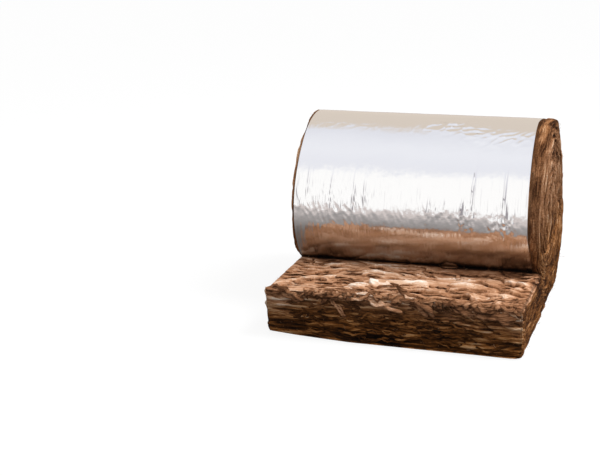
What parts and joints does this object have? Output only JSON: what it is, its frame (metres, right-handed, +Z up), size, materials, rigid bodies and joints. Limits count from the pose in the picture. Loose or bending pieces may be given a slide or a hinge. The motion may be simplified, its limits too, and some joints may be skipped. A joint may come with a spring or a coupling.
{
  "type": "insulation roll",
  "caption": "Foil-faced mineral wool insulation blanket, rolled up with its loose end lying flat in front, bare wool upwards.",
  "frame": {"origin": "on the floor, at the centre of the space that the whole part takes up", "axes": "+Z up, +X along the roll, +Y from the loose end towards the back of the roll"},
  "size_m": [0.6, 0.7084, 0.454],
  "materials": {
    "wool": "matte",
    "foil": "polished"
  },
  "bodies": {
    "root": {"wool_blanket": "wool", "foil_facing": "foil"}
  },
  "joints": []
}
